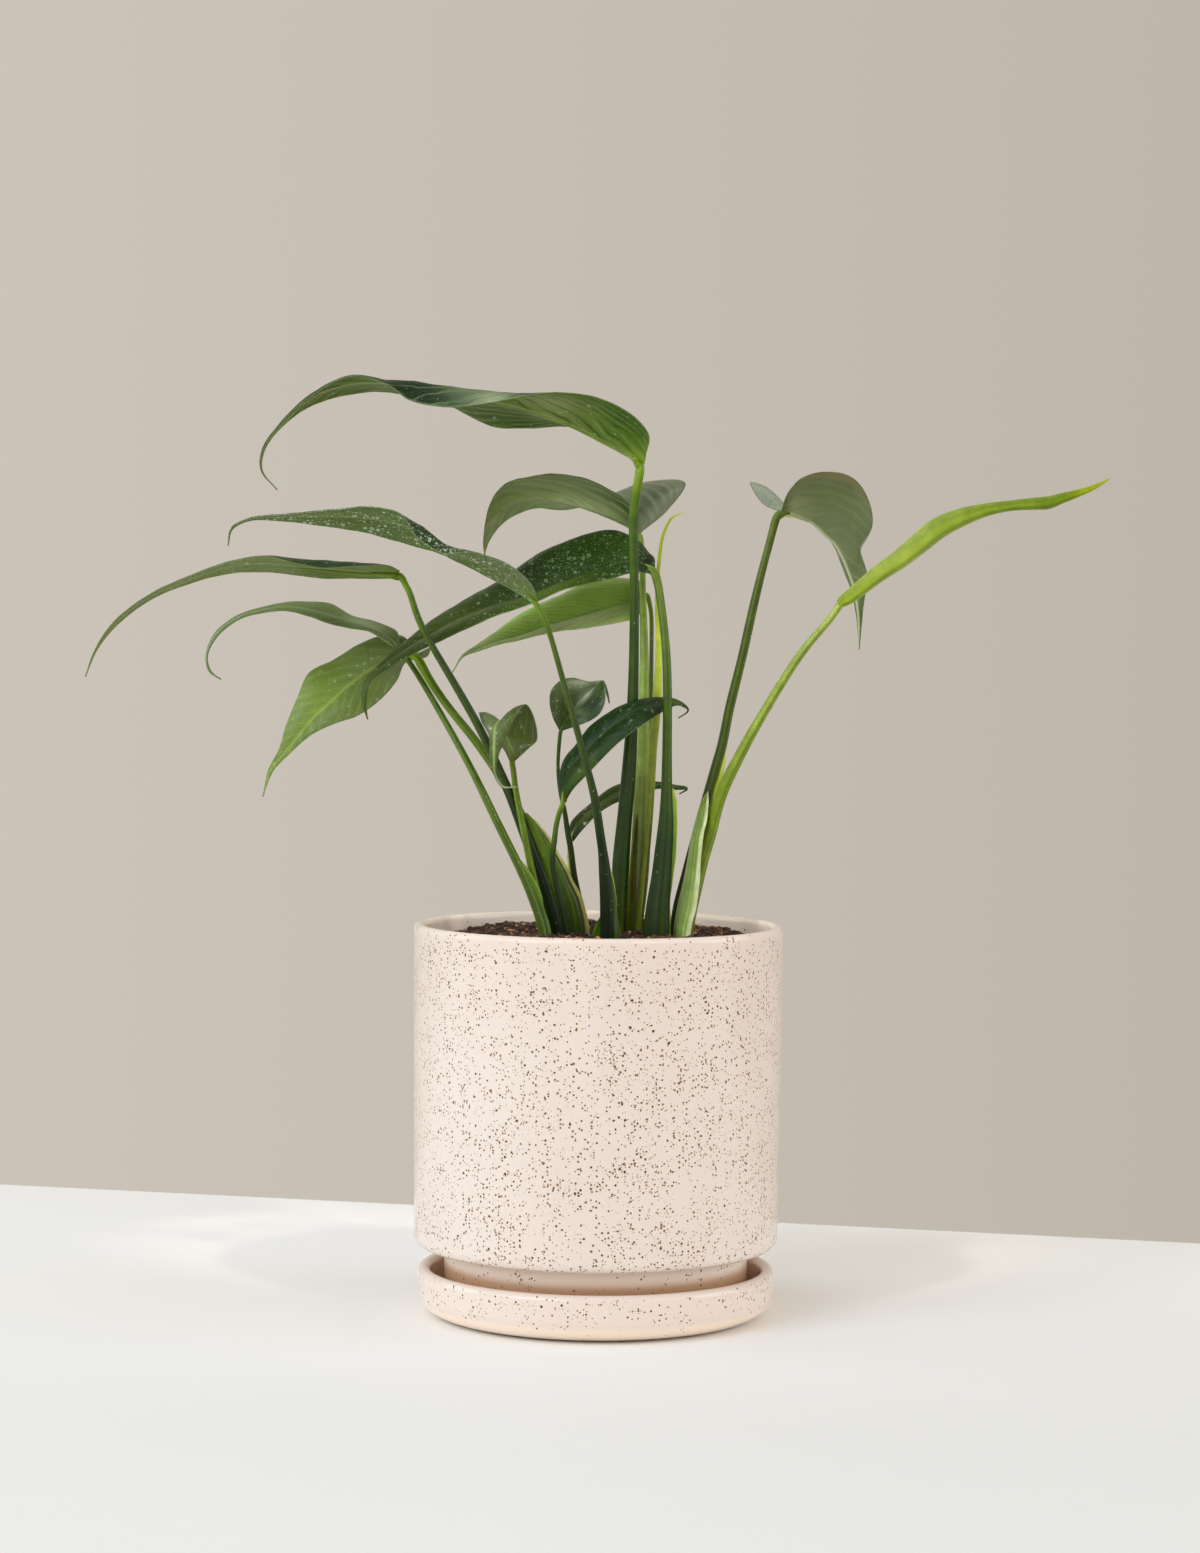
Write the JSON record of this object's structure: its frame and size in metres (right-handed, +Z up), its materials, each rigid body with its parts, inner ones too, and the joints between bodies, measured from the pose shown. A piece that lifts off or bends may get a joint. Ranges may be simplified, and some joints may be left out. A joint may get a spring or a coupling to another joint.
{
  "type": "potted aroid house plant",
  "caption": "Narrow-leaved aroid house plant with arching, curling leaves on upright stalks, in a straight-sided speckled pot on a round saucer.",
  "frame": {"origin": "middle of the flat underside of the saucer", "axes": "+Z up along the pot; +X to the right, towards the rolled new leaf and away from the long drooping leaves; +Y away from the viewer"},
  "size_m": [0.4616, 0.17, 0.4291],
  "materials": {
    "pot_glaze": "gloss with small dark speckles",
    "saucer_glaze": "gloss with few small speckles",
    "potting_soil": "matte, fibrous",
    "leaf_mid_green": "satin with pale veins",
    "leaf_bright_green": "satin with yellow-green veins",
    "leaf_dark_green": "satin with small pale specks",
    "leaf_grey_green": "matte underside with raised veins",
    "leaf_new_yellow_green": "satin, rolled",
    "stalk_green": "satin, lighter towards the top",
    "stalk_yellow_green": "satin with a pale streak"
  },
  "bodies": {
    "root": {"bright_leaf": "leaf_bright_green", "bright_stalk": "stalk_green", "cupped_leaf": "leaf_grey_green", "cupped_stalk": "stalk_green", "curled_leaf": "leaf_mid_green", "curled_stalk": "stalk_green", "dark_leaf": "leaf_dark_green", "dark_stalk": "stalk_green", "drooping_leaf": "leaf_bright_green", "drooping_stalk": "stalk_green", "front_leaf": "leaf_mid_green", "front_stalk": "stalk_green", "long_leaf": "leaf_mid_green", "long_stalk": "stalk_green", "middle_leaf": "leaf_dark_green", "middle_stalk": "stalk_green", "new_leaf": "leaf_new_yellow_green", "new_stalk": "stalk_yellow_green", "pot": "pot_glaze", "rear_leaf": "leaf_grey_green", "rear_stalk": "stalk_green", "right_leaf": "leaf_grey_green", "right_stalk": "stalk_green", "round_leaf": "leaf_dark_green", "round_stalk": "stalk_green", "saucer": "saucer_glaze", "soil": "potting_soil", "spear": "stalk_yellow_green", "strap_leaf": "leaf_dark_green", "strap_stalk": "stalk_green", "tall_leaf": "leaf_mid_green", "tall_stalk": "stalk_green"}
  },
  "joints": []
}
